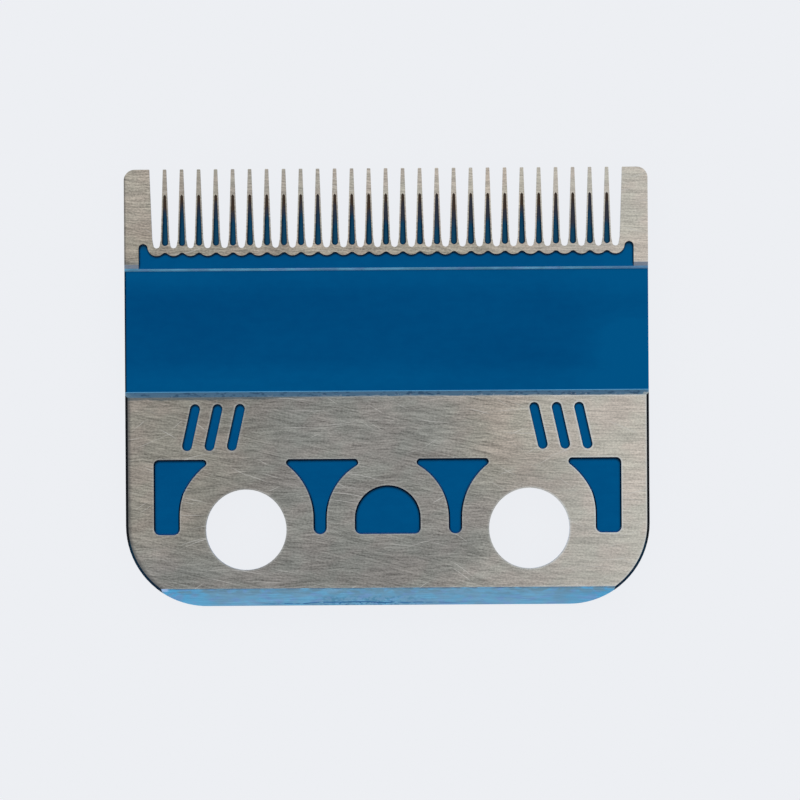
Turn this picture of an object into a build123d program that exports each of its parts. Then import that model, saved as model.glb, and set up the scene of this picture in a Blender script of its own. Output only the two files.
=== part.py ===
"""Fixed lower blade of a hair clipper, one piece of hardened steel, in millimetres.

X runs along the tooth row, Y towards the tooth tips and Z from the skin side up to the inner
side. The origin is midway between the two screw holes, on the skin side.
"""

import os
from math import acos, atan, atan2, degrees, hypot, sqrt

from build123d import *

# Plate
THICKNESS = 3.0
REAR_EDGE = 6.68  # screw line to the rear edge
TIP_LINE = 31.69  # screw line to the tooth tips
REAR_CORNER_R = 7.1
FRONT_CORNER_R = 0.95
LAND_EDGE = 0.22  # slanted edge of the rear land
SKIN_EDGE = 0.25  # slanted edge round the skin side

# Bevels
SKIN_BEVEL_LENGTH = 14.0
TIP_THICKNESS = 0.5
REAR_BEVEL_LENGTH = 1.53
REAR_BEVEL_HEIGHT = 1.0

# Screw holes
SCREW_SPACING = 24.88
SCREW_HOLE_R = 3.54

# Tooth row
GAP_COUNT = 28
TOOTH_PITCH = 1.493
TOOTH_TIP_WIDTH = 0.312
TOOTH_ROOT_WIDTH = 0.74
TOOTH_TIP_SLANT = 0.04  # cut corner of a tooth tip
END_TOOTH_WIDTH = 2.255
GAP_LENGTH = 6.92  # tooth tips to the bottom of a gap
GAP_BOTTOM_R = 0.28
GAP_BOTTOM_RISE = 0.78  # length over which a gap closes to its round bottom

# Relief pocket on each tooth
TOOTH_RIM = 0.116
TOOTH_TIP_LAND = 2.2  # tooth tip to the pocket
TOOTH_POCKET_SETBACK = 0.2  # gap bottom to the heel of the pocket
TOOTH_POCKET_NOSE = 0.15  # length of its pointed front end
TOOTH_POCKET_DEPTH = 0.2

# Channel across the blade
REAR_LAND = 11.66  # screw line to the channel
FRONT_LAND = 1.43  # gap bottom to the channel
CHANNEL_DEPTH = 0.5
CHANNEL_FRONT_RUN = 0.59
CHANNEL_REAR_RUN = 0.48
CHANNEL_FLOOR_R = 0.12

# Scalloped pocket behind the teeth
SCALLOP_DEPTH = 0.32
SCALLOP_SETBACK = 0.11  # gap bottom to the scallop centres
SCALLOP_LAP = 0.0435  # how far a scallop passes the middle of a tooth
SCALLOP_CREST_R = 0.32
EAR_WIDTH = 0.81
EAR_REACH = 0.285  # scallop centres to the top of an ear

# Pockets in the rear land
POCKET_DEPTH = 0.25
POCKET_WALL_RUN = 0.13  # how far a pocket's wall leans inwards
POCKET_FRONT = 6.19
POCKET_REAR = -0.43
SIDE_LAND = 2.45  # side of the blade to the side pocket
SIDE_LEG = 2.29
SIDE_FLARE = 3.1  # how far the side pocket reaches in past its leg
SIDE_THROAT = 1.23  # screw line to the start of the flare
SIDE_BEND = 3.2  # screw line to the slight bend in the flare
SIDE_BEND_REACH = 0.34  # how far the bend lies in past the leg
SIDE_FLANK_R = 6.66  # curve of the flare past the bend
SIDE_TIP_R = 0.32
SIDE_CORNER_R = 0.46
SIDE_FOOT_R = 0.55
FUNNEL_SHIFT = 0.045  # stem off the middle between the dome and the screw hole
FUNNEL_STEM = 1.18
FUNNEL_THROAT = 0.95
FUNNEL_INNER_FLARE = 4.16
FUNNEL_OUTER_FLARE = 3.09
FUNNEL_INNER_TIP_R = 0.33
FUNNEL_OUTER_TIP_R = 0.31
DOME_Y = 0.955
DOME_R = 2.9
DOME_FOOT_R = 0.54

# Slots in the rear land
SLOT_SHIFT = 0.85  # screw hole to the first slot
SLOT_STEP = 1.97
SLOT_COUNT = 3
SLOT_Y = 9.01
SLOT_LENGTH = 4.2
SLOT_WIDTH = 0.87
SLOT_TILT = 12.6

OVERCUT = 2.0  # how far a cut runs past the steel
FACING_DOWN = -0.5  # the normal of a face turned downwards is below this

screw_x = SCREW_SPACING / 2
gap_mouth = TOOTH_PITCH - TOOTH_TIP_WIDTH
gap_line = TIP_LINE - GAP_LENGTH
gap_bend_line = gap_line + GAP_BOTTOM_RISE
last_gap_x = (GAP_COUNT - 1) * TOOTH_PITCH / 2
half_width = last_gap_x + gap_mouth / 2 + END_TOOTH_WIDTH
channel_front = gap_line - FRONT_LAND
bevel_line = TIP_LINE - SKIN_BEVEL_LENGTH
top = Plane.XY.offset(THICKNESS)


def tooth_half_width(y):
    """Half the width of a tooth, which widens evenly from its tip to the gap bottom."""
    share = (TIP_LINE - y) / (TIP_LINE - gap_bend_line)
    return (TOOTH_TIP_WIDTH + share * (TOOTH_ROOT_WIDTH - TOOTH_TIP_WIDTH)) / 2


# Side pocket: a leg along the side of the blade, flaring towards the middle in two curves with a slight bend
with BuildSketch(top) as side_outline:
    with BuildLine():
        side_x = half_width - SIDE_LAND
        leg_x = side_x - SIDE_LEG
        flare = TangentArc((leg_x, SIDE_THROAT), (leg_x - SIDE_BEND_REACH, SIDE_BEND), tangent=(0, 1))
        flank = RadiusArc(flare @ 1, (leg_x - SIDE_FLARE, POCKET_FRONT), -SIDE_FLANK_R)
        Polyline(
            flank @ 1,
            (side_x, POCKET_FRONT),
            (side_x, POCKET_REAR),
            (leg_x, POCKET_REAR),
            flare @ 0,
        )
    make_face()
    fillet(side_outline.vertices().sort_by(Axis.X)[0], SIDE_TIP_R)
    fillet(side_outline.vertices().group_by(Axis.Y)[-1].sort_by(Axis.X)[-1], SIDE_CORNER_R)
    fillet(side_outline.vertices().group_by(Axis.Y)[0], SIDE_FOOT_R)

# Funnel pocket: a round-ended stem between the dome and the screw hole, flaring to both sides
with BuildSketch(top) as funnel_outline:
    with BuildLine():
        stem_x = (DOME_R + screw_x - SCREW_HOLE_R) / 2 + FUNNEL_SHIFT
        stem_r = FUNNEL_STEM / 2
        inner = TangentArc(
            (stem_x - stem_r, FUNNEL_THROAT),
            (stem_x - stem_r - FUNNEL_INNER_FLARE, POCKET_FRONT),
            tangent=(0, 1),
        )
        outer = TangentArc(
            (stem_x + stem_r, FUNNEL_THROAT),
            (stem_x + stem_r + FUNNEL_OUTER_FLARE, POCKET_FRONT),
            tangent=(0, 1),
        )
        stem_end = CenterArc((stem_x, POCKET_REAR + stem_r), stem_r, 180, 180)
        Line(inner @ 1, outer @ 1)
        Line(inner @ 0, stem_end @ 0)
        Line(outer @ 0, stem_end @ 1)
    make_face()
    fillet(funnel_outline.vertices().sort_by(Axis.X)[0], FUNNEL_INNER_TIP_R)
    fillet(funnel_outline.vertices().sort_by(Axis.X)[-1], FUNNEL_OUTER_TIP_R)

# Dome pocket: in the middle of the rear land
with BuildSketch(top) as dome_outline:
    with BuildLine():
        crown = CenterArc((0, DOME_Y), DOME_R, 0, 180)
        Polyline(crown @ 1, (-DOME_R, POCKET_REAR), (DOME_R, POCKET_REAR), crown @ 0)
    make_face()
    fillet(dome_outline.vertices().group_by(Axis.Y)[0], DOME_FOOT_R)

# Slots: three beside each other on each side, splayed towards the rear
with BuildSketch(top) as slot_outline:
    for number in range(SLOT_COUNT):
        with Locations((screw_x + SLOT_SHIFT + number * SLOT_STEP, SLOT_Y)):
            SlotOverall(SLOT_LENGTH, SLOT_WIDTH, rotation=90 + SLOT_TILT)

# All pockets of the rear land: the slots have upright walls, the others lean inwards
pocket_draft = degrees(atan(POCKET_WALL_RUN / POCKET_DEPTH))
with BuildPart() as pockets:
    add(side_outline.sketch)
    add(funnel_outline.sketch)
    extrude(amount=-POCKET_DEPTH, taper=pocket_draft)
    add(slot_outline.sketch)
    extrude(amount=-POCKET_DEPTH)
    mirror(about=Plane.YZ)
    add(dome_outline.sketch)
    extrude(amount=-POCKET_DEPTH, taper=pocket_draft)

# Scalloped pocket, with a land round the bottom of each gap and an ear at each end
scallop_r = TOOTH_PITCH / 2 + SCALLOP_LAP
scallop_line = gap_line + SCALLOP_SETBACK
crest_line = scallop_line - sqrt(scallop_r**2 - (TOOTH_PITCH / 2) ** 2)
ear_r = EAR_WIDTH / 2
ear_line = scallop_line + EAR_REACH - ear_r
ear_x = last_gap_x + sqrt(scallop_r**2 - (scallop_line - ear_line) ** 2) + ear_r
scallop_rear = channel_front - CHANNEL_FRONT_RUN

with BuildPart() as scallops:
    with BuildSketch(top) as scallop_outline:
        with Locations((0, (ear_line + scallop_rear) / 2)):
            Rectangle(2 * (ear_x + ear_r), ear_line - scallop_rear)
        with Locations((0, scallop_line)):
            with GridLocations(TOOTH_PITCH, 0, GAP_COUNT, 1):
                Circle(scallop_r, mode=Mode.SUBTRACT)
        with Locations((-ear_x, ear_line), (ear_x, ear_line)):
            Circle(ear_r)
        crests = scallop_outline.vertices().filter_by_position(
            Axis.Y, crest_line - SCALLOP_LAP, crest_line + SCALLOP_LAP
        )
        fillet(crests, SCALLOP_CREST_R)
    extrude(amount=-SCALLOP_DEPTH)

# One gap between two teeth: a round bottom, straight flanks and a flared mouth
with BuildSketch() as gap_outline:
    with BuildLine():
        gap_foot = TOOTH_PITCH / 2 - TOOTH_ROOT_WIDTH / 2
        mouth_y = TIP_LINE - TOOTH_TIP_SLANT
        mouth_x = TOOTH_PITCH / 2 - tooth_half_width(mouth_y)
        bend_rise = GAP_BOTTOM_RISE - GAP_BOTTOM_R
        bend_angle = degrees(atan2(bend_rise, gap_foot))
        touch_angle = bend_angle - degrees(acos(GAP_BOTTOM_R / hypot(bend_rise, gap_foot)))
        bottom = CenterArc(
            (0, gap_line + GAP_BOTTOM_R), GAP_BOTTOM_R, 180 - touch_angle, 180 + 2 * touch_angle
        )
        Polyline(
            bottom @ 0,
            (-gap_foot, gap_bend_line),
            (-mouth_x, mouth_y),
            (-mouth_x - TOOTH_TIP_SLANT, TIP_LINE),
            (-mouth_x - TOOTH_TIP_SLANT, TIP_LINE + OVERCUT),
            (mouth_x + TOOTH_TIP_SLANT, TIP_LINE + OVERCUT),
            (mouth_x + TOOTH_TIP_SLANT, TIP_LINE),
            (mouth_x, mouth_y),
            (gap_foot, gap_bend_line),
            bottom @ 1,
        )
    make_face()

# Relief pocket of one tooth, with an even rim to each flank, a pointed nose and a round heel
with BuildSketch() as tooth_pocket_outline:
    with BuildLine():
        nose_y = TIP_LINE - TOOTH_TIP_LAND
        neck_y = nose_y - TOOTH_POCKET_NOSE
        neck_x = tooth_half_width(neck_y) - TOOTH_RIM
        heel_r = tooth_half_width(gap_line + TOOTH_POCKET_SETBACK) - TOOTH_RIM
        heel = CenterArc((0, gap_line + TOOTH_POCKET_SETBACK + heel_r), heel_r, 180, 180)
        Polyline(
            heel @ 0,
            (-neck_x, neck_y),
            (0, nose_y),
            (neck_x, neck_y),
            heel @ 1,
        )
    make_face()

# Blade: the plate, then its bevels, edges, channel, pockets, holes and teeth
with BuildPart() as blade:
    with BuildSketch() as plate_outline:
        with Locations((0, (TIP_LINE - REAR_EDGE) / 2)):
            Rectangle(2 * half_width, TIP_LINE + REAR_EDGE)
        fillet(plate_outline.vertices().group_by(Axis.Y)[0], REAR_CORNER_R)
        fillet(plate_outline.vertices().group_by(Axis.Y)[-1], FRONT_CORNER_R)
    extrude(amount=THICKNESS)

    # Skin side
    with BuildSketch(Plane.YZ):
        with BuildLine():
            Polyline(
                (bevel_line, 0),
                (TIP_LINE, THICKNESS - TIP_THICKNESS),
                (TIP_LINE + OVERCUT, THICKNESS - TIP_THICKNESS),
                (TIP_LINE + OVERCUT, -OVERCUT),
                (bevel_line, -OVERCUT),
                close=True,
            )
        make_face()
    extrude(amount=half_width + OVERCUT, both=True, mode=Mode.SUBTRACT)
    plateau, slope = blade.faces().filter_by(lambda face: face.normal_at().Z < FACING_DOWN)
    bend = plateau.edges() & slope.edges()
    chamfer((plateau.edges() - bend) + (slope.edges() - bend), SKIN_EDGE)

    # Channel
    with BuildSketch(Plane.YZ):
        with BuildLine():
            channel_floor = THICKNESS - CHANNEL_DEPTH
            Polyline(
                (REAR_LAND, THICKNESS),
                (REAR_LAND + CHANNEL_REAR_RUN, channel_floor),
                (channel_front - CHANNEL_FRONT_RUN, channel_floor),
                (channel_front, THICKNESS),
                close=True,
            )
        channel = make_face()
        fillet(channel.vertices().group_by(Axis.Y)[0], CHANNEL_FLOOR_R)
    extrude(amount=half_width + OVERCUT, both=True, mode=Mode.SUBTRACT)

    # Edge of the rear land, then the bevel along the rear
    land_rim = blade.faces().filter_by(Axis.Z).group_by(Axis.Z)[-1].sort_by(Axis.Y)[0].edges()
    chamfer(land_rim - land_rim.filter_by(Axis.X).sort_by(Axis.Y)[-1:], LAND_EDGE)
    with BuildSketch(Plane.YZ):
        with BuildLine():
            Polyline(
                (REAR_BEVEL_LENGTH - REAR_EDGE, THICKNESS),
                (-REAR_EDGE, THICKNESS - REAR_BEVEL_HEIGHT),
                (-REAR_EDGE - OVERCUT, THICKNESS - REAR_BEVEL_HEIGHT),
                (-REAR_EDGE - OVERCUT, THICKNESS),
                close=True,
            )
        make_face()
    extrude(amount=half_width + OVERCUT, both=True, mode=Mode.SUBTRACT)

    # Pockets
    add(pockets.part, mode=Mode.SUBTRACT)
    add(scallops.part, mode=Mode.SUBTRACT)
    with BuildSketch(top):
        with GridLocations(TOOTH_PITCH, 0, GAP_COUNT - 1, 1):
            add(tooth_pocket_outline.sketch)
    extrude(amount=-TOOTH_POCKET_DEPTH, mode=Mode.SUBTRACT)

    # Screw holes and gaps between the teeth
    with Locations((-screw_x, 0, 0), (screw_x, 0, 0)):
        Hole(SCREW_HOLE_R)
    with BuildSketch():
        with GridLocations(TOOTH_PITCH, 0, GAP_COUNT, 1):
            add(gap_outline.sketch)
    extrude(amount=THICKNESS, mode=Mode.SUBTRACT)

blade.part.label = "fixed_blade"
os.makedirs("parts", exist_ok=True)
export_step(blade.part, "parts/fixed_blade.step")
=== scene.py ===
"""Looks of the fixed blade of a hair clipper: ground steel lands, blue coat in every recess.

Metres, in the blade's own frame: X along the tooth row, Y towards the tips, Z out of the ground side.
"""

from math import atan, pi, radians

import bpy
import numpy as np
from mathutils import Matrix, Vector


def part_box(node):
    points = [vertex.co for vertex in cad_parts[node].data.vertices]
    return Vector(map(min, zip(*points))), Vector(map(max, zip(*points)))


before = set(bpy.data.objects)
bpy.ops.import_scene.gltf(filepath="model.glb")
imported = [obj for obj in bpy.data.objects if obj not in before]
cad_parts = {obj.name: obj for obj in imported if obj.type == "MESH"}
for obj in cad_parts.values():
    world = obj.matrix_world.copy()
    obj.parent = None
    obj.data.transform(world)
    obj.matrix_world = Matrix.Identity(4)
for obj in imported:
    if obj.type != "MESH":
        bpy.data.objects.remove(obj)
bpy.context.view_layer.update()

MM = 0.001
BLADE = "fixed_blade"
blade_low, blade_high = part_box(BLADE)
HALF_WIDTH = blade_high.x
REAR_EDGE = blade_low.y
GROUND = blade_high.z  # height of the ground side

# Picture
IMAGE_WIDTH = 70.26 * MM  # what the picture's width takes in at the ground side
IMAGE_CENTRE = Vector((1.14 * MM, 11.32 * MM, GROUND))
IMAGE_TURN = radians(-0.37)
LENS = 1000.0
SENSOR = 36.0

# Places along the blade, each as the two lines between which a finish changes
FRONT_LAND = (22.5 * MM, 24.0 * MM)  # from the channel to the front land
TOOTH_FEET = (24.4 * MM, 25.2 * MM)  # where the tooth pockets begin
TOOTH_TIPS = (25.0 * MM, 29.5 * MM)  # the lands grow paler towards the tooth tips
END_FOOT = (27.8 * MM, 26.2 * MM)  # the right end tooth grows paler towards its foot
HEAT_TO_GREY = (26.6 * MM, 28.0 * MM)  # the tooth pockets turn grey
HEAT_TO_BROWN = (28.0 * MM, 28.8 * MM)
LAND_FOOT = (-4.0 * MM, 1.0 * MM)  # out of the darker foot of the rear land
WARM_BAND = (1.0 * MM, 6.0 * MM)  # the right part of the rear land grows warmer towards the channel
HOLLOW_REAR = (-3.5 * MM, -1.0 * MM)  # between these, the painted sheen starts further right
HOLLOW_FRONT = (7.5 * MM, 4.5 * MM)
CHANNEL_REAR = (15.2 * MM, 13.0 * MM)  # the channel floor grows paler towards its slopes
CHANNEL_FRONT = (20.0 * MM, 22.4 * MM)
PALE_PATCH = 16.4 * MM  # the middle of a paler patch at the channel's right end
PALE_PATCH_FADE = (2.8 * MM, 0.8 * MM)  # from its rim to its middle
REAR_LAND = 11.66 * MM  # where the rear land ends and the slope down to the channel begins

# Sizes on the blade
LAND_SKIN = 0.004 * MM  # how far below the ground side a point still counts as ground
END_TOOTH = 2.26 * MM  # width of the two end teeth
RECESS_DEPTH = 0.4 * MM  # the deepest pocket wall
CHANNEL_FLOOR = GROUND - 0.5 * MM
ABOVE_CHANNEL = (GROUND - 0.45 * MM, GROUND - 0.35 * MM)  # from the channel floor to the pocket floors
SIDE_EDGE = 0.3 * MM  # the broken edge along the blade's two sides
REAR_CORNER = 7.1 * MM  # radius of the two rear corners
EDGE_ROUND = 0.30 * MM  # how far in from their edges the lands are burnished, with a painted highlight
REAR_RIM_SHADE = (0.60 * MM, 0.2 * MM)  # how far in the painted shade along the left edge begins and is full, on the rear land
FRONT_RIM_SHADE = (0.18 * MM, 0.08 * MM)
CHANNEL_RIM = (0.2 * MM, 0.06 * MM)
STAIN_EDGE = (-0.03 * MM, 0.15 * MM)  # where the stain on the rear land's front edge begins and is full
STAIN_RAGGED = 0.3 * MM
STAIN_WIDER = 0.30 * MM  # how much wider the stain is at the left end
STAIN_PART = (2 * MM, -18 * MM)  # between these places along X, it grows wider
HEAT_WANDER = 4.5 * MM  # how far the heat lines differ from tooth to tooth
HEAT_LATER = 0.9 * MM  # how much later the grey begins on the left teeth
HEAT_LATER_PART = (-13 * MM, -18 * MM)
SHADE_REACH = 0.3 * MM  # how far out on the pocket floors the walls give shade
SHADE_SIDE = (0.20, 0.52, 0.83)  # pocket floors darken under the outer and the front walls
BUMP_DEPTH = 0.004 * MM
BUMP_STRENGTH = 0.35

# Leans: how far a face looks up, from -1, straight down, to 1, straight up
LAND_LEAN = 0.9
FLOOR_LEAN = (0.8, 0.95)
UPWARD_LEAN = (0.2, 0.6)
WALL_LEAN = ((0.15, 0.3), (0.93, 0.8))
OUTER_LEAN = (0.30, 0.15)
SKIN_LEAN = (-0.3, -0.6)
SKIN_EDGE_LEAN = ((-0.92, -0.8), (-0.45, -0.6))

# Rear bevel, as places along X and as distances in from the rear edge
WORKED_PART = ((-8 * MM, -4 * MM), (5 * MM, 0.0))
SCORED_PART = ((-12 * MM, -9 * MM), (9 * MM, 1 * MM))
GLINT_PART = (-19.2 * MM, -19.5 * MM)
GLINT_RISE = (1.2 * MM, 1.4 * MM)
DULL_RISE = (0.6 * MM, 1.4 * MM)
BRIM_RISE = (1.42 * MM, 1.5 * MM)
TEAL_RISE = (1.0 * MM, 0.6 * MM)
NICK_RISE = (0.5 * MM, 0.2 * MM)
SCORE_SWAY = 0.5 * MM  # the scored line wanders over this width
SCORE_WIDTH = (0.07 * MM, 0.02 * MM)
MARK_STRENGTH = 0.85

# Slopes of the channel, as heights above the channel floor
SLOPE_HIGHLIGHT_LINE = (0.10 * MM, 0.02 * MM)  # the painted highlight, a pale line at the rear slope's foot
SLOPE_WEAR = 0.61 * MM  # the highest point of the ragged line above which the rear slope is worn
SLOPE_RAGGED = 0.35 * MM  # how deep that line dips
SLOPE_WEAR_EDGE = (-0.04 * MM, 0.05 * MM)  # below and above that line
SLOPE_NICKS = (0.22 * MM, 0.36 * MM)
SLOPE_END_GLINT_DROP = 0.2 * MM  # how much lower that line is at the two ends, a painted glint in the worn colour
SLOPE_END_GLINT = (0.6 * MM, 0.4 * MM)  # how far in from the sides it drops
WORN_PART = (-14 * MM, 2 * MM)  # between these places along X, the rear slope grows more worn
RIDGE_FOOT_SHADE = 0.12 * MM
RIDGE_TOP = (0.16 * MM, 0.26 * MM)

# Grinding: how strongly each pattern shows on the left and at the right end
BARE_SHARE = (0.41, 0.64)  # what the steel keeps where no pattern shows
LEVEL_SHARE = (0.28, 0.26)
CROSSING_SHARE = (0.36, 0.10)
SPECK_SHARE = (0.40, 0.30)
MOTTLE_SHARE = (0.14, 0.06)
TIP_CALM = 0.35  # how much of it is lost at the tips of the fine teeth

# Hairline scratches: direction in degrees, length and width in millimetres, and how far apart
SCRATCHES = (
    (8, 5.0, 0.07, 9),
    (-18, 3.5, 0.07, 8),
    (-30, 2.4, 0.06, 9),
    (2, 7.0, 0.06, 9),
    (25, 1.8, 0.06, 10),
)
SKIN_SCUFFS = (
    (-6, 5.0, 0.07, 8),
    (24, 3.0, 0.06, 9),
)
SKIN_SCUFF_SHIFTS = (14, 58)  # where each pattern starts
SCRATCH_STRENGTH = 0.70
SWAY = 3.0 * MM  # scratches bend to and fro by this much
SWAY_LENGTH = 8.0 * MM

# Colours, linear
NO_TINT = (1, 1, 1, 1)
STEEL_DARK = (0.350, 0.350, 0.332, 1)
STEEL_LIGHT = (0.84, 0.80, 0.722, 1)
STEEL_WARM = (1.01, 0.950, 0.875, 1)  # this and the next two are tints
STEEL_GREENISH = (0.985, 1.005, 0.995, 1)
STEEL_PINKISH = (1.025, 0.985, 0.985, 1)
STEEL_SCRATCH = (0.86, 0.85, 0.82, 1)
STEEL_EDGE_BURNISH_AND_HIGHLIGHT = (0.92, 0.97, 0.98, 1)
STEEL_RIM_SHADE = (0.060, 0.066, 0.074, 1)
STEEL_STAIN = (0.105, 0.145, 0.172, 1)
COAT_DEEP = (0.0005, 0.094, 0.290, 1)
COAT_PALE = (0.0006, 0.136, 0.375, 1)
COAT_TEAL_SHADE = (0.010, 0.087, 0.186, 1)
COAT_WALL_SHADE = (0.003, 0.030, 0.060, 1)
COAT_SHADE = (0.004, 0.022, 0.050, 1)
COAT_BLACK_SHADE = (0.006, 0.008, 0.011, 1)
HEAT_GREY = (0.050, 0.055, 0.076, 1)
HEAT_BROWN = (0.078, 0.053, 0.038, 1)
BEVEL_SKY = (0.071, 0.310, 0.540, 1)
BEVEL_GREY = (0.140, 0.285, 0.426, 1)
BEVEL_SOFT = (0.122, 0.325, 0.505, 1)
BEVEL_LILAC = (0.140, 0.264, 0.481, 1)
BEVEL_DULL = (0.126, 0.240, 0.330, 1)
BEVEL_BRIM = (0.080, 0.140, 0.220, 1)
BEVEL_TEAL = (0.060, 0.210, 0.335, 1)
BEVEL_MARK = (0.022, 0.100, 0.255, 1)
BEVEL_GLINT = (0.28, 0.42, 0.66, 1)
RIDGE_BLUE = (0.125, 0.330, 0.500, 1)
RIDGE_GREY = (0.225, 0.262, 0.320, 1)
SLOPE_FOOT_HIGHLIGHT = (0.17, 0.48, 0.73, 1)
SLOPE_DEEP = (0.06, 0.143, 0.245, 1)
SLOPE_SLATE = (0.20, 0.37, 0.50, 1)
SLOPE_WORN = (0.64, 0.70, 0.68, 1)
SLOPE_NICK = (1.0, 1.0, 1.0, 1)

# Roughness, between the lines and on them
STEEL_ROUGHNESS = (0.38, 0.50)
COAT_ROUGHNESS = (0.30, 0.42)
OUTER_ROUGHNESS = (0.30, 0.44)
RUBBED_ROUGHNESS = (0.34, 0.44)

# Studio
FLOOR_HALF = 3.0
FLOOR_GAP = 0.02 * MM  # between the floor and the skin side
FLOOR_COLOUR = (0.04, 0.04, 0.04, 1)
FLOOR_GLOW = (0.819, 0.835, 0.868, 1)
ROOM_STRENGTH = 0.6
LIT_POINT = Vector((0, 12 * MM, 0))


class Finish:
    """A material under construction: its shader, the place on the blade, and short ways to add nodes."""

    def __init__(self, name):
        self.material = bpy.data.materials.new(name)
        self.material.use_nodes = True
        self.tree = self.material.node_tree
        self.shader = self.tree.nodes["Principled BSDF"]
        where = self.add("ShaderNodeTexCoord")
        self.place = where.outputs["Object"]
        self.x, self.y, self.z = self.split(self.place)
        self.lean_x, self.lean_y, self.lean_z = self.split(where.outputs["Normal"])
        self.from_middle = self.math("ABSOLUTE", self.x)
        self.left_half = self.math("LESS_THAN", self.x, 0.0)
        self.inset = self.from_sides()
        self.swayed = self.sway()

    def add(self, kind, inputs=(), **settings):
        """A new node with its settings, and its inputs as (name, value or socket) pairs."""
        node = self.tree.nodes.new(kind)
        for name, value in settings.items():
            setattr(node, name, value)
        for name, value in inputs:
            self.feed(node.inputs[name], value)
        return node

    def feed(self, socket, value):
        """Links a socket to a socket, or sets its value."""
        if isinstance(value, bpy.types.NodeSocket):
            self.tree.links.new(value, socket)
        else:
            socket.default_value = value

    def split(self, vector):
        """The three parts of a vector."""
        return self.add("ShaderNodeSeparateXYZ", [(0, vector)]).outputs

    def math(self, operation, *numbers):
        """One step of arithmetic on one, two or three numbers."""
        return self.add("ShaderNodeMath", enumerate(numbers), operation=operation).outputs[0]

    def plus(self, value, share, amount):
        """A value plus a share times an amount."""
        return self.math("MULTIPLY_ADD", share, amount, value)

    def apart(self, a, b):
        """How far apart two numbers are."""
        return self.math("ABSOLUTE", self.math("SUBTRACT", a, b))

    def ramp(self, value, low, high, start=0.0, end=1.0):
        """A number that goes smoothly from start to end as value goes from low to high."""
        inputs = [("Value", value), ("From Min", low), ("From Max", high), ("To Min", start), ("To Max", end)]
        return self.add("ShaderNodeMapRange", inputs, interpolation_type="SMOOTHSTEP").outputs["Result"]

    def across(self, low, high, start=0.0, end=1.0):
        """Goes from start to end between those shares of the half width, which are negative on the left."""
        return self.ramp(self.x, low * HALF_WIDTH, high * HALF_WIDTH, start, end)

    def along(self, lines, start=0.0, end=1.0):
        """Goes from start to end between those two lines along the blade."""
        return self.ramp(self.y, *lines, start, end)

    def both(self, *masks):
        """Where all of the masks are: their product."""
        made = masks[0]
        for mask in masks[1:]:
            made = self.math("MULTIPLY", made, mask)
        return made

    def either(self, a, b):
        """Where one mask or the other is: the greater of the two."""
        return self.math("MAXIMUM", a, b)

    def between(self, value, rise, fall):
        """Goes up from 0 to 1 over the first pair of values, and down to 0 again over the second."""
        return self.both(self.ramp(value, *rise), self.ramp(value, *fall))

    def blend(self, share, a, b):
        """Colour a where share is 0, colour b where it is 1."""
        node = self.add("ShaderNodeMix", data_type="RGBA")
        for socket, value in zip((node.inputs[0], node.inputs[6], node.inputs[7]), (share, a, b)):
            self.feed(socket, value)
        return node.outputs[2]

    def level(self, share, a, b):
        """Number a where share is 0, number b where it is 1."""
        node = self.add("ShaderNodeMix", data_type="FLOAT")
        for socket, value in zip((node.inputs[0], node.inputs[2], node.inputs[3]), (share, a, b)):
            self.feed(socket, value)
        return node.outputs[0]

    def drawn_out(self, place, length, width, turn, shift, height=None):
        """A place, in marks of that length, width and height, turned by that many degrees and shifted by that
        many millimetres."""
        inputs = [
            ("Vector", place),
            ("Location", (shift * MM, shift * MM, 0)),
            ("Rotation", (0, 0, radians(turn))),
            ("Scale", (length * MM, width * MM, (height or length) * MM)),
        ]
        return self.add("ShaderNodeMapping", inputs, vector_type="TEXTURE").outputs[0]

    def grain(self, length, width, turn=0.0, shift=0.0, detail=3.0, roughness=0.5, height=None):
        """Noise drawn out into marks of that length, width and height, in millimetres, turned by that many
        degrees."""
        inputs = [
            ("Vector", self.drawn_out(self.place, length, width, turn, shift, height)),
            ("Scale", 1.0),
            ("Detail", detail),
            ("Roughness", roughness),
        ]
        return self.add("ShaderNodeTexNoise", inputs).outputs[0]

    def marks(self, length, width, low, high, most=1.0, **grain):
        """Marks of that length and width: none where the grain is below low, full where it is above high."""
        return self.ramp(self.grain(length, width, **grain), low, high, 0.0, most)

    def from_sides(self):
        """How far in from the sides and the rounded rear corners: the corner's radius less the distance from
        its centre, or less the distance beyond that centre's line along the sides."""
        across = self.math("SUBTRACT", self.from_middle, HALF_WIDTH - REAR_CORNER)
        across = self.math("MAXIMUM", across, 0.0)
        back = self.math("SUBTRACT", REAR_EDGE + REAR_CORNER, self.y)
        back = self.math("MAXIMUM", back, 0.0)
        squares = self.math("MULTIPLY_ADD", across, across, self.math("MULTIPLY", back, back))
        return self.math("SUBTRACT", REAR_CORNER, self.math("SQRT", squares))

    def sway(self):
        """The place on the blade plus a gentle push to and fro, so that straight marks become slight arcs."""
        inputs = [("Vector", self.place), ("Scale", 1 / SWAY_LENGTH), ("Detail", 0.0)]
        push = self.add("ShaderNodeTexNoise", inputs).outputs["Color"]
        inputs = [(0, push), (1, (SWAY, SWAY, 0)), (2, self.place)]
        return self.add("ShaderNodeVectorMath", inputs, operation="MULTIPLY_ADD").outputs[0]

    def hairs(self, turn, length, width, spread, shift):
        """Slightly curved scratches of that direction, length and width, one in the middle of each cell of a
        scattered pattern whose cells are spread times as long and as wide."""
        drawn = self.drawn_out(self.swayed, spread * length, spread * width, turn, shift)
        inputs = [("Vector", drawn), ("Scale", 1.0)]
        cells = self.add("ShaderNodeTexVoronoi", inputs, voronoi_dimensions="2D")
        return self.ramp(cells.outputs["Distance"], 0.5 / spread, 0.15 / spread)

    def scale(self, colour, factor):
        """A colour made lighter or darker by a factor."""
        inputs = [(0, colour), ("Scale", factor)]
        return self.add("ShaderNodeVectorMath", inputs, operation="SCALE").outputs[0]

    def tint(self, colour, by):
        """A colour multiplied by another."""
        return self.add("ShaderNodeVectorMath", [(0, colour), (1, by)], operation="MULTIPLY").outputs[0]


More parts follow.
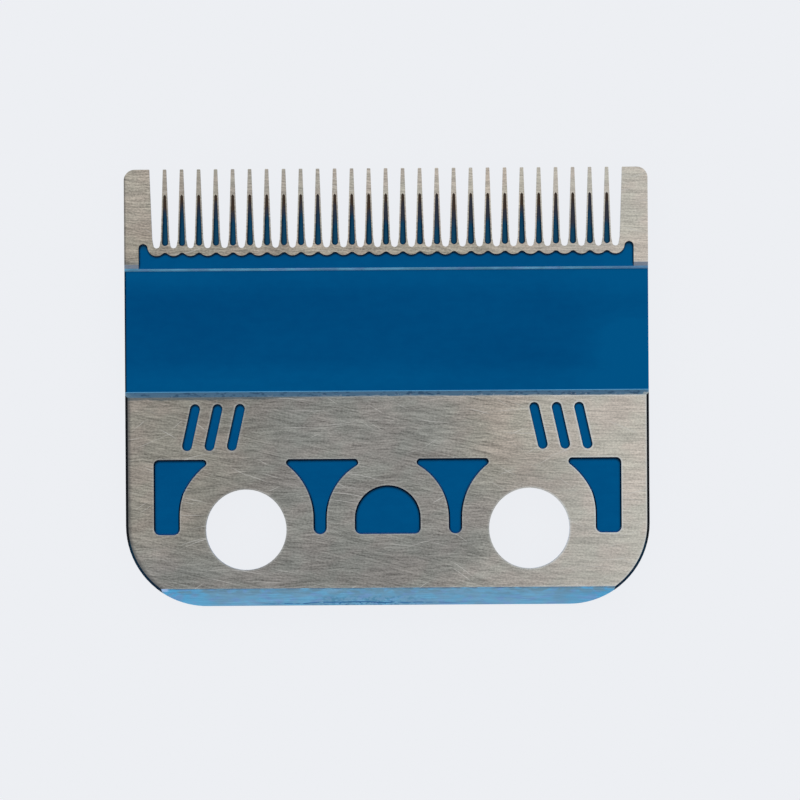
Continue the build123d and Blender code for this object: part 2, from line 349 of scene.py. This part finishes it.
def steel_tone(finish, right, front):
    """How light the steel is: clouds, plus a painted sheen that grows to the right, light from that side
    painted into the colour, plus the paler front land, left end, tooth tips and foot of the right end tooth,
    less the darker foot of the rear land."""
    clouds = finish.marks(9, 5, 0.35, 0.65, shift=31)
    hollow = finish.between(finish.y, HOLLOW_REAR, HOLLOW_FRONT)
    painted_sheen_start = finish.level(hollow, -0.1 * HALF_WIDTH, 0.13 * HALF_WIDTH)
    # painted sheen: light from the right painted into the steel as a paler colour
    painted_sheen = finish.ramp(finish.x, painted_sheen_start, 1.05 * HALF_WIDTH)
    left_end = finish.across(-0.6, -1.0)
    end_foot = finish.both(finish.along(END_FOOT), finish.across(0.83, 0.9), front)
    tone = finish.plus(-0.02, clouds, 0.14)
    tone = finish.plus(tone, painted_sheen, finish.level(front, 0.80, 0.27))
    tone = finish.plus(tone, front, finish.across(-0.75, 0.1, 0.185, 0.365))
    tone = finish.plus(tone, left_end, finish.level(front, 0.15, 0.03))
    tone = finish.math("ADD", tone, finish.along(LAND_FOOT, finish.level(right, -0.10, -0.05), 0.0))
    tone = finish.math("ADD", tone, finish.along(TOOTH_TIPS, 0.0, 0.16))
    return finish.plus(tone, end_foot, 0.17)


def steel_warmth(finish, right, front):
    """How warm the steel is: the greatest of a band right of the middle that grows towards the channel, the
    left part above the foot, and the front land, which is cooler to the right and towards the tips."""
    band = finish.both(finish.across(0.15, 0.45), finish.along(WARM_BAND), finish.level(right, 0.75, 0.15))
    left_part = finish.both(finish.across(-0.30, -0.75), finish.along(LAND_FOOT, 0.0, 0.75))
    front_part = finish.both(front, finish.along(TOOTH_TIPS, 1.0, 0.45), finish.level(right, 1.0, 0.2))
    return finish.either(finish.either(band, left_part), front_part)


def grinding(finish, level_lines, right):
    """How much the grinding lightens or darkens the steel: what is bare plus the level lines, the lines that
    cross them in patches, the specks and the mottle, each times its share, and calmer on the tooth tips."""
    falling = finish.grain(3.6, 0.13, turn=-14, shift=37, detail=2)
    rising = finish.grain(3.8, 0.13, turn=6, shift=51, detail=2)
    patches = finish.marks(3.0, 1.2, 0.46, 0.62, turn=-8, shift=64, detail=2)
    crossing = finish.ramp(finish.level(patches, falling, rising), 0.34, 0.66)
    specks = finish.marks(0.20, 0.15, 0.30, 0.70, turn=-4, shift=61, detail=2, roughness=0.7)
    mottle = finish.marks(1.6, 0.6, 0.34, 0.66, turn=-12, shift=88)
    relief = finish.level(right, *BARE_SHARE)
    for pattern, share in (
        (level_lines, LEVEL_SHARE),
        (crossing, CROSSING_SHARE),
        (specks, SPECK_SHARE),
        (mottle, MOTTLE_SHARE),
    ):
        relief = finish.plus(relief, pattern, finish.level(right, *share))
    fine_teeth = finish.math("LESS_THAN", finish.from_middle, HALF_WIDTH - END_TOOTH)
    calm = finish.both(finish.along(TOOTH_TIPS, 0.0, TIP_CALM), fine_teeth)
    return finish.level(calm, relief, 1.0)


def hairline_scratches(finish):
    """Where the hairline scratches are: the strongest of their directions, each kept to its own patches."""
    scratches = 0.0
    for number, scratch in enumerate(SCRATCHES):
        patches = finish.marks(7, 4, 0.42, 0.58, shift=23 * number, detail=2)
        hairs = finish.both(finish.hairs(*scratch, 77 * number), patches)
        scratches = finish.either(hairs, scratches)
    return scratches


def worn_line(finish):
    """The uneven line between the rear land and the slope: noise that changes mostly along the edge."""
    return finish.grain(1.1, 4, shift=15, roughness=0.6)


def land_edges(finish, colour, right, front):
    """The steel's colour with its edges: burnished and painted pale round the pockets as an edge highlight,
    stronger to the right, a rim of painted shade along the left side, and a ragged dark stain along the front
    edge of the rear land, which grows wider to the left."""
    rear = finish.level(front, 1.0, 0.0)
    rear_left = finish.both(finish.left_half, rear)
    front_left = finish.both(finish.left_half, front)
    # partly burnish, partly a painted highlight on the rounded edges, stronger to the right
    rounded = finish.add("ShaderNodeBevel", [("Radius", EDGE_ROUND)], samples=4).outputs[0]
    burnish_and_highlight = finish.ramp(finish.split(rounded)[2], 0.995, 0.94, 0.0, finish.level(right, 0.30, 1.0))
    colour = finish.blend(finish.both(burnish_and_highlight, rear), colour, STEEL_EDGE_BURNISH_AND_HIGHLIGHT)
    # painted shade: a dark rim along the left edges of the lands
    rear_rim_shade = finish.ramp(finish.inset, *REAR_RIM_SHADE, 0.0, 0.70)
    colour = finish.blend(finish.both(rear_rim_shade, rear_left), colour, STEEL_RIM_SHADE)
    front_rim_shade = finish.ramp(finish.inset, *FRONT_RIM_SHADE, 0.0, 0.5)
    colour = finish.blend(finish.both(front_rim_shade, front_left), colour, STEEL_RIM_SHADE)
    beyond = finish.math("SUBTRACT", finish.y, REAR_LAND + STAIN_RAGGED / 2)
    beyond = finish.plus(beyond, worn_line(finish), STAIN_RAGGED)
    beyond = finish.math("ADD", beyond, finish.ramp(finish.x, *STAIN_PART, 0.0, STAIN_WIDER))
    stain = finish.ramp(beyond, *STAIN_EDGE, 0.0, 0.72)
    return finish.blend(finish.both(stain, rear_left), colour, STEEL_STAIN)


def ground_steel(finish):
    """Bare ground steel: dark and light steel mixed by the tone, which holds a painted sheen, tinted by the
    warmth and by a faint patchy hue, times the grinding, with pale hairline scratches and the edges over it:
    burnish with a painted highlight, rims of painted shade and a stain.

    Gives its colour, roughness and height.
    """
    right = finish.across(0.3, 0.8)
    front = finish.along(FRONT_LAND)
    level_lines = finish.marks(3.2, 0.13, 0.34, 0.66, turn=-2, shift=20)
    scratches = hairline_scratches(finish)
    colour = finish.blend(steel_tone(finish, right, front), STEEL_DARK, STEEL_LIGHT)
    colour = finish.tint(colour, finish.blend(steel_warmth(finish, right, front), NO_TINT, STEEL_WARM))
    hue = finish.marks(3.5, 2.2, 0.36, 0.64, turn=20, shift=47, detail=2)
    colour = finish.tint(colour, finish.blend(hue, STEEL_GREENISH, STEEL_PINKISH))
    colour = finish.scale(colour, grinding(finish, level_lines, right))
    colour = finish.blend(finish.math("MULTIPLY", scratches, SCRATCH_STRENGTH), colour, STEEL_SCRATCH)
    colour = land_edges(finish, colour, right, front)
    roughness = finish.level(level_lines, *STEEL_ROUGHNESS)
    height = finish.math("SUBTRACT", level_lines, scratches)
    return colour, roughness, height


def coat_tone(finish, milling):
    """How pale the coat is: milling lines, clouds and mottle, plus more to the right as painted light from
    that side, more again in a patch at the channel's right end, and more towards the channel's slopes, or an
    even amount in the pockets."""
    clouds = finish.marks(14, 6, 0.3, 0.7, shift=53)
    mottle = finish.marks(1.3, 0.8, 0.34, 0.66, shift=34, detail=4, roughness=0.6)
    patch_fade = finish.ramp(finish.apart(finish.y, PALE_PATCH), *PALE_PATCH_FADE)
    patch = finish.both(finish.across(0.70, 0.92), patch_fade)
    slopes = finish.either(finish.along(CHANNEL_REAR), finish.along(CHANNEL_FRONT))
    raised = finish.ramp(finish.z, *ABOVE_CHANNEL)
    tone = finish.math("MULTIPLY", milling, 0.2)
    tone = finish.plus(tone, clouds, 0.25)
    tone = finish.plus(tone, mottle, 0.16)
    tone = finish.plus(tone, patch, 0.50)
    # painted light: the coat made paler towards the right end
    tone = finish.plus(tone, finish.across(0.55, 1.0), 0.40)
    return finish.math("ADD", tone, finish.level(raised, finish.math("MULTIPLY", slopes, 0.46), 0.37))


def coat_shade(finish, upward):
    """Where the coat is in shade: on floors that have a wall close by on the outer or the front side, and in
    a thin rim at the channel's left end."""
    outward = finish.math("MULTIPLY", finish.math("SIGN", finish.x), SHADE_SIDE[0])
    shade_side = finish.add("ShaderNodeCombineXYZ", zip("XYZ", (outward, *SHADE_SIDE[1:]))).outputs[0]
    open_sky = finish.add(
        "ShaderNodeAmbientOcclusion",
        [("Distance", SHADE_REACH), ("Normal", shade_side)],
        samples=8,
        only_local=True,
    ).outputs["AO"]
    under_walls = finish.both(finish.ramp(open_sky, 0.85, 0.55), finish.ramp(finish.lean_z, *FLOOR_LEAN))
    rim = finish.both(finish.ramp(finish.inset, *CHANNEL_RIM), finish.left_half, upward)
    return finish.either(under_walls, rim)


def heat_colours(finish, colour, upward):
    """The coat's colour, burnt towards the noses of the tooth pockets: grey past one line and brown past the
    next, both lines moved to and fro from tooth to tooth, and the grey one later on the left."""
    wander = finish.plus(-HEAT_WANDER / 2, finish.grain(1.4, 3, shift=91, detail=1), HEAT_WANDER)
    along = finish.math("ADD", finish.y, wander)
    later = finish.ramp(finish.x, *HEAT_LATER_PART, 0.0, -HEAT_LATER)
    grey = finish.ramp(finish.math("ADD", along, later), *HEAT_TO_GREY)
    colour = finish.blend(finish.both(grey, upward), colour, HEAT_GREY)
    brown = finish.ramp(along, *HEAT_TO_BROWN)
    return finish.blend(finish.both(brown, upward), colour, HEAT_BROWN)


def pocket_walls(finish, colour):
    """The coat's colour, with painted shade and highlight on the leaning walls of the pockets: painted shade,
    darkest where they lean back and navy at the ends, a painted highlight in light blue where they lean to
    the front, and painted shade in black on the broken edge along the blade's sides."""
    leaning = finish.between(finish.lean_z, *WALL_LEAN)
    high = finish.ramp(finish.z, GROUND - 1.1 * RECESS_DEPTH, GROUND - RECESS_DEPTH)
    # painted shade and highlight: each wall coloured by the way it faces the light
    wall_shade_and_highlight = finish.blend(finish.ramp(finish.lean_y, -0.5, -0.2), COAT_SHADE, COAT_WALL_SHADE)
    wall_shade_and_highlight = finish.blend(finish.ramp(finish.lean_y, 0.1, 0.5), wall_shade_and_highlight, RIDGE_BLUE)
    side_edge_shade = finish.math("GREATER_THAN", finish.from_middle, HALF_WIDTH - SIDE_EDGE)
    wall_shade_and_highlight = finish.blend(side_edge_shade, wall_shade_and_highlight, COAT_BLACK_SHADE)
    return finish.blend(finish.both(leaning, high), colour, wall_shade_and_highlight)


def blue_coat(finish):
    """Satin blue coat on the milled recesses: deep and pale blue mixed by the tone, teal painted shade in the
    tooth pockets, navy in the shade of the walls, burnt at the noses of the tooth pockets, with the painted
    shade and highlights of the pocket walls over it.

    Gives its colour, roughness and height.
    """
    milling = finish.grain(6, 0.2, shift=19)
    upward = finish.ramp(finish.lean_z, *UPWARD_LEAN)
    colour = finish.blend(coat_tone(finish, milling), COAT_DEEP, COAT_PALE)
    # painted shade: the narrow tooth pockets darkened to a deeper, greener blue
    colour = finish.blend(finish.both(finish.along(TOOTH_FEET), upward), colour, COAT_TEAL_SHADE)
    colour = finish.blend(coat_shade(finish, upward), colour, COAT_SHADE)
    colour = heat_colours(finish, colour, upward)
    colour = pocket_walls(finish, colour)
    roughness = finish.level(milling, *COAT_ROUGHNESS)
    return colour, roughness, milling


def outer_coat(finish):
    """The same coat on the sides, the bores and the skin side: fine level lines round the sides, brushed
    lines and scuffs along the skin side, rubbed paler on its slanted edges.

    Gives its colour, roughness and height.
    """
    under = finish.ramp(finish.lean_z, *SKIN_LEAN)
    clouds = finish.marks(5, 5, 0.35, 0.65, shift=71, height=2)
    side_lines = finish.grain(9, 9, shift=25, height=0.11)
    skin_lines = finish.grain(5, 0.13, turn=1, shift=66)
    lines = finish.ramp(finish.level(under, side_lines, skin_lines), 0.34, 0.66)
    tone = finish.plus(finish.math("MULTIPLY", clouds, 0.4), lines, 0.6)
    colour = finish.blend(tone, COAT_DEEP, COAT_PALE)
    scuffs = 0.0
    for scuff, shift in zip(SKIN_SCUFFS, SKIN_SCUFF_SHIFTS):
        scuffs = finish.either(finish.hairs(*scuff, shift), scuffs)
    colour = finish.blend(finish.both(scuffs, under, finish.level(clouds, 0.1, 0.5)), colour, RIDGE_BLUE)
    slanted = finish.between(finish.lean_z, *SKIN_EDGE_LEAN)
    colour = finish.blend(finish.both(slanted, finish.level(clouds, 0.25, 0.7)), colour, RIDGE_BLUE)
    roughness = finish.level(lines, *OUTER_ROUGHNESS)
    return colour, roughness, lines


def bevel_marks(finish, rise, worked):
    """Where the rear bevel is marked: a thin scored line that wanders near the rear edge and is broken in
    places, and nicks close to that edge in the worked part."""
    sway = finish.math("MULTIPLY", finish.grain(4, 9, shift=27, detail=2), SCORE_SWAY)
    line = finish.ramp(finish.apart(rise, sway), *SCORE_WIDTH)
    broken = finish.marks(1.0, 9, 0.36, 0.46, shift=73, detail=2)
    scored = finish.both(finish.between(finish.x, *SCORED_PART), broken, line)
    nicks = finish.marks(0.26, 0.12, 0.58, 0.66, shift=5, detail=1)
    nicks = finish.both(nicks, worked, finish.ramp(rise, *NICK_RISE))
    return finish.either(scored, nicks)


def rear_bevel(finish):
    """The coat rubbed thin along the rear bevel: sky blue at the ends, mottled grey and lilac between them,
    duller under the ground land with a darker brim, teal and marked near the rear edge left of the middle,
    and a glint at its left upper corner.

    Gives its colour.
    """
    rise = finish.math("SUBTRACT", finish.y, REAR_EDGE)
    middle = finish.ramp(finish.from_middle, 0.88 * HALF_WIDTH, 0.60 * HALF_WIDTH)
    worked = finish.between(finish.x, *WORKED_PART)
    mottle = finish.marks(1.5, 0.5, 0.36, 0.64, shift=44, roughness=0.6)
    colour = finish.blend(middle, BEVEL_SKY, finish.blend(mottle, BEVEL_SOFT, BEVEL_GREY))
    lilac = finish.marks(1.1, 0.45, 0.50, 0.66, most=0.7, shift=58, detail=2)
    colour = finish.blend(lilac, colour, BEVEL_LILAC)
    dull = finish.marks(0.8, 0.35, 0.36, 0.62, shift=12, detail=2)
    colour = finish.blend(finish.both(dull, finish.ramp(rise, *DULL_RISE)), colour, BEVEL_DULL)
    brim = finish.marks(0.9, 5, 0.38, 0.58, shift=29, detail=2)
    colour = finish.blend(finish.both(brim, finish.ramp(rise, *BRIM_RISE)), colour, BEVEL_BRIM)
    teal = finish.marks(0.4, 0.2, 0.46, 0.60, most=0.7, shift=83, detail=2)
    colour = finish.blend(finish.both(teal, worked, finish.ramp(rise, *TEAL_RISE)), colour, BEVEL_TEAL)
    marks = finish.math("MULTIPLY", bevel_marks(finish, rise, worked), MARK_STRENGTH)
    colour = finish.blend(marks, colour, BEVEL_MARK)
    glint = finish.both(finish.ramp(finish.x, *GLINT_PART), finish.ramp(rise, *GLINT_RISE))
    return finish.blend(glint, colour, BEVEL_GLINT)


def rear_slope(finish, rise):
    """The slope from the channel up to the rear land: a painted highlight as a pale line at its foot, slate
    with dark spots above it, and bare steel with nicks above a ragged line, where it is worn, and a painted
    glint at its two ends.

    Gives its colour.
    """
    spots = finish.marks(0.6, 0.3, 0.52, 0.66, most=0.7, shift=70, detail=2)
    colour = finish.blend(spots, SLOPE_SLATE, SLOPE_DEEP)
    # painted highlight: a pale line where the slope rounds into the channel floor
    colour = finish.blend(finish.ramp(rise, *SLOPE_HIGHLIGHT_LINE), colour, SLOPE_FOOT_HIGHLIGHT)
    ragged = finish.plus(SLOPE_WEAR, worn_line(finish), -SLOPE_RAGGED)
    # painted glint: the worn colour reaches lower at the slope's two ends
    ragged = finish.math("ADD", ragged, finish.ramp(finish.inset, *SLOPE_END_GLINT, 0.0, -SLOPE_END_GLINT_DROP))
    worn = finish.ramp(finish.math("SUBTRACT", rise, ragged), *SLOPE_WEAR_EDGE)
    worn = finish.both(worn, finish.ramp(finish.x, *WORN_PART, 0.1, 1.0))
    colour = finish.blend(worn, colour, SLOPE_WORN)
    nicks = finish.marks(0.24, 0.3, 0.58, 0.66, shift=83, detail=1)
    clusters = finish.marks(3, 6, 0.46, 0.58, shift=96, detail=2)
    high = finish.ramp(rise, *SLOPE_NICKS)
    shown = finish.ramp(finish.x, *WORN_PART, 0.15, 0.35)
    return finish.blend(finish.both(nicks, clusters, high, shown), colour, SLOPE_NICK)


def front_ridge(finish, rise):
    """The slope from the channel up to the front land: light blue with lilac patches and uneven glints,
    with painted shade at its foot, and grey where it meets the ground ends of the front land.

    Gives its colour.
    """
    glints = finish.ramp(finish.grain(1.6, 3, shift=39, detail=2), 0.35, 0.65, 0.85, 1.15)
    # painted shade: the colour is darker towards the slope's foot
    glints = finish.both(glints, finish.ramp(rise, 0.0, RIDGE_FOOT_SHADE, 0.65, 1.0))
    lilac = finish.marks(2.2, 3, 0.52, 0.62, most=0.6, shift=67, detail=1)
    colour = finish.scale(finish.blend(lilac, RIDGE_BLUE, BEVEL_LILAC), glints)
    return finish.blend(finish.ramp(rise, *RIDGE_TOP), colour, RIDGE_GREY)


def rubbed_coat(finish):
    """The coat rubbed thin on the slanted faces: the front ridge's colour, the rear bevel's behind the screw
    holes, and the rear slope's where the face leans to the front.

    Gives its colour, roughness and height.
    """
    lines = finish.marks(2.5, 0.1, 0.35, 0.65, shift=44, detail=4)
    rise = finish.math("SUBTRACT", finish.z, CHANNEL_FLOOR)
    behind = finish.math("LESS_THAN", finish.y, 0.0)
    colour = finish.blend(behind, front_ridge(finish, rise), rear_bevel(finish))
    colour = finish.blend(finish.ramp(finish.lean_y, 0.0, 0.4), colour, rear_slope(finish, rise))
    roughness = finish.level(lines, *RUBBED_ROUGHNESS)
    return colour, roughness, lines


def blade_finish():
    """The blade's material: blue coat all over, then the outer coat on the sides and the skin side, the
    rubbed coat on the slanted faces, and ground steel on the lands, each where its mask is."""
    finish = Finish("blue_coat_and_ground_steel")
    outer = finish.ramp(finish.lean_z, *OUTER_LEAN)
    slanted = finish.both(
        finish.ramp(finish.math("ABSOLUTE", finish.lean_y), 0.2, 0.5),
        finish.math("LESS_THAN", finish.math("ABSOLUTE", finish.lean_x), 0.02),
        finish.math("GREATER_THAN", finish.lean_z, 0.5),
    )
    land = finish.both(
        finish.math("GREATER_THAN", finish.z, GROUND - LAND_SKIN),
        finish.math("GREATER_THAN", finish.lean_z, LAND_LEAN),
    )
    colour, roughness, height = blue_coat(finish)
    for share, (next_colour, next_roughness, next_height) in (
        (outer, outer_coat(finish)),
        (slanted, rubbed_coat(finish)),
        (land, ground_steel(finish)),
    ):
        colour = finish.blend(share, colour, next_colour)
        roughness = finish.level(share, roughness, next_roughness)
        height = finish.level(share, height, next_height)
    inputs = [("Strength", BUMP_STRENGTH), ("Distance", BUMP_DEPTH), ("Height", height)]
    bump = finish.add("ShaderNodeBump", inputs)
    shader = finish.shader
    finish.feed(shader.inputs["Base Color"], colour)
    finish.feed(shader.inputs["Roughness"], roughness)
    finish.feed(shader.inputs["Normal"], bump.outputs[0])
    shader.inputs["Metallic"].default_value = 1.0
    return finish.material


def pale_floor():
    """A wide flat square under the blade, pale and lit from inside like a light table."""
    corners = FLOOR_HALF * np.array([(-1, -1), (1, -1), (1, 1), (-1, 1)])
    heights = np.full((4, 1), blade_low.z - FLOOR_GAP)
    mesh = bpy.data.meshes.new("pale_floor")
    mesh.from_pydata(np.hstack([corners, heights]).tolist(), [], [(0, 1, 2, 3)])
    floor = bpy.data.objects.new("pale_floor", mesh)
    bpy.context.scene.collection.objects.link(floor)
    material = bpy.data.materials.new("pale_floor")
    material.use_nodes = True
    shader = material.node_tree.nodes["Principled BSDF"]
    shader.inputs["Base Color"].default_value = FLOOR_COLOUR
    shader.inputs["Roughness"].default_value = 0.9
    shader.inputs["Specular IOR Level"].default_value = 0.0
    shader.inputs["Emission Color"].default_value = FLOOR_GLOW
    shader.inputs["Emission Strength"].default_value = 1.0
    mesh.materials.append(material)


def soft_light(name, azimuth, elevation, distance, width, height, radiance):
    """A soft box that looks at the blade from that side and height, in degrees, as bright as radiance: its
    power is radiance times pi times its area."""
    light = bpy.data.lights.new(name, "AREA")
    light.shape = "RECTANGLE"
    light.size, light.size_y = width, height
    light.energy = radiance * pi * width * height
    lamp = bpy.data.objects.new(name, light)
    a, e = radians(azimuth), radians(elevation)
    way = Vector((np.sin(a) * np.cos(e), -np.cos(a) * np.cos(e), np.sin(e)))
    lamp.location = LIT_POINT + way * distance
    lamp.rotation_mode = "QUATERNION"
    lamp.rotation_quaternion = way.to_track_quat("Z", "Y")
    bpy.context.scene.collection.objects.link(lamp)


def studio():
    """Even soft light from all round, with a soft box behind the rear bevel and one beyond the teeth."""
    world = bpy.data.worlds.new("soft_room")
    world.use_nodes = True
    backdrop = world.node_tree.nodes["Background"]
    backdrop.inputs["Color"].default_value = (1, 1, 1, 1)
    backdrop.inputs["Strength"].default_value = ROOM_STRENGTH
    bpy.context.scene.world = world
    bpy.context.scene.view_settings.view_transform = "Standard"
    soft_light("rear_box", 0, 24, distance=0.6, width=0.6, height=0.16, radiance=1.2)
    soft_light("tooth_box", 180, 50, distance=0.6, width=0.6, height=0.2, radiance=1.0)


def camera():
    """A long lens straight above the ground side, turned as the picture is: half the picture's width over the
    tangent of half the lens's angle gives its distance."""
    lens = bpy.data.cameras.new("camera")
    lens.lens, lens.sensor_width = LENS, SENSOR
    eye = bpy.data.objects.new("camera", lens)
    distance = IMAGE_WIDTH / 2 / np.tan(atan(SENSOR / 2 / LENS))
    eye.location = IMAGE_CENTRE + Vector((0, 0, distance))
    eye.rotation_euler = (0, 0, IMAGE_TURN)
    bpy.context.scene.collection.objects.link(eye)
    bpy.context.scene.camera = eye


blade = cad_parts[BLADE]
blade.material_slots[0].material = blade_finish()
pale_floor()
studio()
camera()
